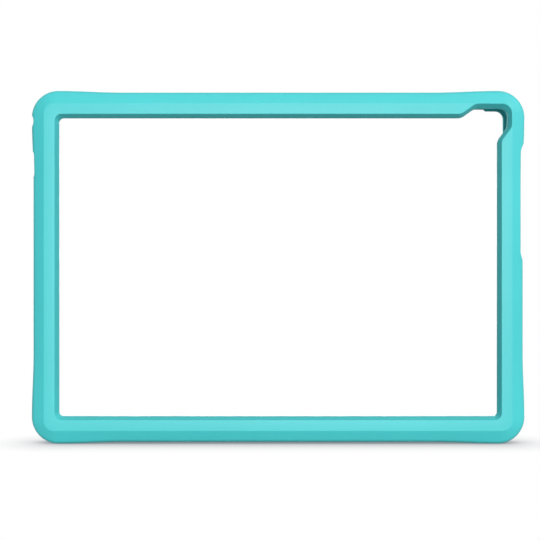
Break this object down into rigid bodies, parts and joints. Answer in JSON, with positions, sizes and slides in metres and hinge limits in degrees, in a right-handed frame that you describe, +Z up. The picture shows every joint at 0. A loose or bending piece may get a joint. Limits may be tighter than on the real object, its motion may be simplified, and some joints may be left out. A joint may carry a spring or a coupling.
{
  "type": "kids tablet bumper case",
  "caption": "Soft silicone bumper frame for a tablet, open front and back, with swollen corners, a pocket between its lips, a camera notch and side cut-outs.",
  "frame": {"origin": "on the surface that the case stands on, under the middle of its box", "axes": "+X along the long sides, to the right as seen from the back; +Y from the back to the front of the case; +Z up, along the short sides"},
  "size_m": [0.2578, 0.016, 0.1846],
  "materials": {
    "silicone": "matte moulded silicone rubber, aqua"
  },
  "bodies": {
    "root": {"bumper_frame": "silicone"}
  },
  "joints": []
}
